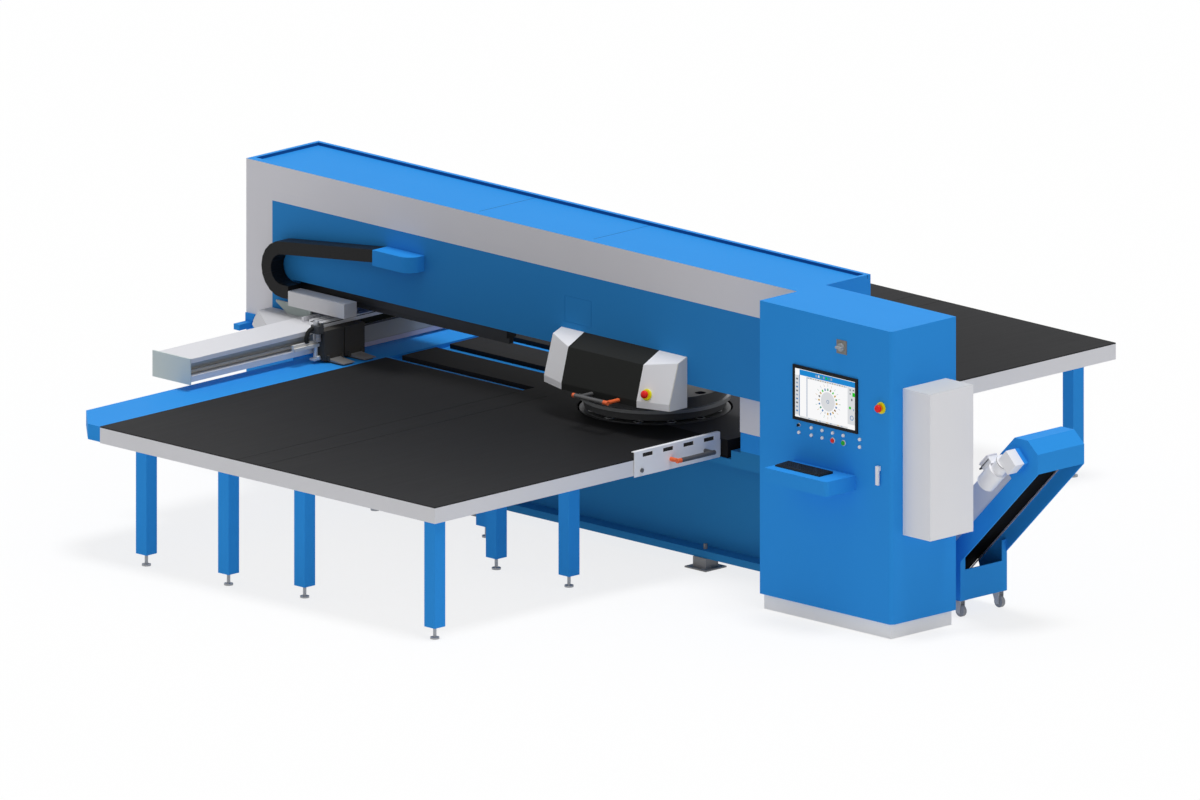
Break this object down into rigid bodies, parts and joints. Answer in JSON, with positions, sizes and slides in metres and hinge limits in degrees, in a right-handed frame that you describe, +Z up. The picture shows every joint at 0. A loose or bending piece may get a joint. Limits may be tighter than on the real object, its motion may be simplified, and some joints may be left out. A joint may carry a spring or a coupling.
{
  "type": "cnc turret punch press",
  "caption": "Turret punch press with a bridge frame, black tables, moving clamps, a lifting turret cover, control cabinet and scrap conveyor.",
  "frame": {"origin": "on the floor, at the middle of the bounding box's plan", "axes": "+X along the bridge to the cabinet and conveyor, +Y from the operator's front table to the rear table, +Z up"},
  "size_m": [7.115, 6.464, 2.131],
  "materials": {
    "blue_paint": "satin powder coat",
    "grey_paint": "satin powder coat",
    "pale_paint": "textured powder coat",
    "white_paint": "textured powder coat",
    "black_paint": "satin powder coat",
    "black_sheet": "matt brushed sheet",
    "machined_steel": "ground and turned",
    "dark_steel": "blackened",
    "bare_aluminium": "extruded, anodised",
    "cast_grey": "moulded, brown-grey",
    "black_plastic": "moulded",
    "white_plastic": "moulded",
    "red_plastic": "moulded",
    "green_plastic": "moulded",
    "display_glass": "screen with dark border",
    "belt_rubber": "ribbed belting",
    "wheel_rubber": "moulded tread"
  },
  "bodies": {
    "frame": {"main_frame": "blue_paint", "top_covers": "blue_paint", "front_cover": "blue_paint", "grey_panels": "grey_paint", "machine_mounts": "dark_steel", "front_table": "pale_paint", "front_table_top": "black_sheet", "rear_table": "pale_paint", "rear_table_top": "black_sheet", "centre_deck": "blue_paint", "centre_strips": "black_sheet", "side_strip": "blue_paint", "table_legs": "blue_paint", "levelling_feet": "machined_steel", "guide_rails": "machined_steel", "chain_end_cover": "blue_paint", "energy_chain": "black_plastic", "cabinet_body": "blue_paint", "cabinet_plinth": "pale_paint", "cooling_unit": "pale_paint", "conveyor_frame": "blue_paint", "conveyor_hood": "grey_paint", "conveyor_belt": "belt_rubber", "gearmotor": "white_paint"},
    "cross_beam": {"beam": "pale_paint", "beam_end_plates": "pale_paint", "saddle": "pale_paint", "tow_box": "pale_paint"},
    "sheet_carriage": {"carriage": "pale_paint", "carriage_bar": "bare_aluminium", "clamp_front": "black_paint"},
    "rear_clamp": {"clamp_rear": "black_paint"},
    "front_jaw": {"jaw_front": "dark_steel"},
    "rear_jaw": {"jaw_rear": "dark_steel"},
    "upper_disc": {"upper_turret": "dark_steel", "idle_punches": "dark_steel"},
    "struck_punch": {"active_punch": "machined_steel"},
    "punch_ram": {"ram": "machined_steel"},
    "lower_disc": {"lower_turret": "dark_steel"},
    "lifting_cover": {"turret_cover": "black_paint", "cover_caps": "pale_paint", "cover_handle": "black_plastic"},
    "cover_stop_head": {"cover_estop": "red_plastic"},
    "sliding_plate": {"slotted_plate": "pale_paint", "plate_handle": "black_plastic"},
    "control_door": {"cabinet_door": "blue_paint", "keyboard": "black_plastic", "screen": "display_glass", "panel_buttons": "white_plastic"},
    "door_latch": {"door_handle": "white_plastic"},
    "switch_knob": {"main_switch": "cast_grey"},
    "door_stop_head": {"door_estop": "red_plastic"},
    "start_key": {"start_button": "green_plastic"},
    "stop_key": {"stop_button": "red_plastic"},
    "head_roller": {"head_drum": "machined_steel"},
    "tail_roller": {"tail_drum": "machined_steel"},
    "castor_1": {"castor_fork_1": "machined_steel"},
    "castor_2": {"castor_fork_2": "machined_steel"},
    "wheel_1": {"castor_wheel_1": "wheel_rubber"},
    "wheel_2": {"castor_wheel_2": "wheel_rubber"}
  },
  "joints": [
    {"name": "beam_travel", "type": "slide", "parent": "frame", "child": "cross_beam", "axis": [1, 0, 0], "range_m": [0, 1.5], "deforming": ["energy_chain"]},
    {"name": "carriage_travel", "type": "slide", "parent": "cross_beam", "child": "sheet_carriage", "axis": [0, 1, 0], "range_m": [-1.15, 0.35]},
    {"name": "clamp_setting", "type": "slide", "parent": "sheet_carriage", "child": "rear_clamp", "axis": [0, 1, 0], "range_m": [0, 1.6]},
    {"name": "front_jaw_grip", "type": "hinge", "parent": "sheet_carriage", "child": "front_jaw", "pos_m": [-2.5449, -0.8385, 0.9476], "axis": [0, -1, 0], "range_deg": [0, 15]},
    {"name": "rear_jaw_grip", "type": "hinge", "parent": "rear_clamp", "child": "rear_jaw", "pos_m": [-2.5449, -0.6405, 0.9476], "axis": [0, -1, 0], "range_deg": [0, 15]},
    {"name": "turret_index", "type": "hinge", "parent": "frame", "child": "upper_disc", "pos_m": [-0.143, -0.204, 1], "axis": [0, 0, 1], "continuous": true},
    {"name": "lower_turret_index", "type": "hinge", "parent": "frame", "child": "lower_disc", "pos_m": [-0.143, -0.204, 0.877], "axis": [0, 0, 1], "continuous": true},
    {"name": "ram_stroke", "type": "slide", "parent": "frame", "child": "punch_ram", "axis": [0, 0, -1], "range_m": [0, 0.035]},
    {"name": "punch_stroke", "type": "slide", "parent": "upper_disc", "child": "struck_punch", "axis": [0, 0, -1], "range_m": [0, 0.035]},
    {"name": "turret_cover_lift", "type": "hinge", "parent": "frame", "child": "lifting_cover", "pos_m": [-0.143, -0.6695, 1.489], "axis": [-1, 0, 0], "range_deg": [0, 80]},
    {"name": "cover_stop_push", "type": "slide", "parent": "lifting_cover", "child": "cover_stop_head", "axis": [-0.1728, 0.9494, -0.2622], "range_m": [0, 0.004], "stiffness_N_per_m": 1500},
    {"name": "slotted_plate_drop", "type": "slide", "parent": "frame", "child": "sliding_plate", "axis": [0, 0, -1], "range_m": [0, 0.044]},
    {"name": "cabinet_door_swing", "type": "hinge", "parent": "frame", "child": "control_door", "pos_m": [1.683, -1.035, 1.1], "axis": [0, 0, -1], "range_deg": [0, 110]},
    {"name": "door_handle_turn", "type": "hinge", "parent": "control_door", "child": "door_latch", "pos_m": [2.8165, -1.048, 1.17], "axis": [0, 1, 0], "range_deg": [0, 90]},
    {"name": "main_switch_turn", "type": "hinge", "parent": "control_door", "child": "switch_knob", "pos_m": [2.463, -1.05, 1.946], "axis": [0, 1, 0], "range_deg": [0, 90]},
    {"name": "door_stop_push", "type": "slide", "parent": "control_door", "child": "door_stop_head", "axis": [0, 1, 0], "range_m": [0, 0.004], "stiffness_N_per_m": 1500},
    {"name": "start_push", "type": "slide", "parent": "control_door", "child": "start_key", "axis": [0, 1, 0], "range_m": [0, 0.004], "stiffness_N_per_m": 600},
    {"name": "stop_push", "type": "slide", "parent": "control_door", "child": "stop_key", "axis": [0, 1, 0], "range_m": [0, 0.004], "stiffness_N_per_m": 600},
    {"name": "head_drum_turn", "type": "hinge", "parent": "frame", "child": "head_roller", "pos_m": [3.4, -0.052, 1.185], "axis": [0, 1, 0], "continuous": true},
    {"name": "tail_drum_turn", "type": "hinge", "parent": "frame", "child": "tail_roller", "pos_m": [1.8, -0.052, 0.23], "axis": [0, 1, 0], "continuous": true},
    {"name": "castor_swivel_1", "type": "hinge", "parent": "frame", "child": "castor_1", "pos_m": [2.77, -0.235, 0.08], "axis": [0, 0, 1], "continuous": true},
    {"name": "castor_roll_1", "type": "hinge", "parent": "castor_1", "child": "wheel_1", "pos_m": [2.794, -0.235, 0.04], "axis": [0, 1, 0], "continuous": true},
    {"name": "castor_swivel_2", "type": "hinge", "parent": "frame", "child": "castor_2", "pos_m": [2.77, 0.131, 0.08], "axis": [0, 0, 1], "continuous": true},
    {"name": "castor_roll_2", "type": "hinge", "parent": "castor_2", "child": "wheel_2", "pos_m": [2.794, 0.131, 0.04], "axis": [0, 1, 0], "continuous": true}
  ],
  "couplings": [
    {"joint": "lower_turret_index", "follows": "turret_index", "ratio": 1},
    {"joint": "punch_stroke", "follows": "ram_stroke", "ratio": 1},
    {"joint": "tail_drum_turn", "follows": "head_drum_turn", "ratio": 1}
  ]
}
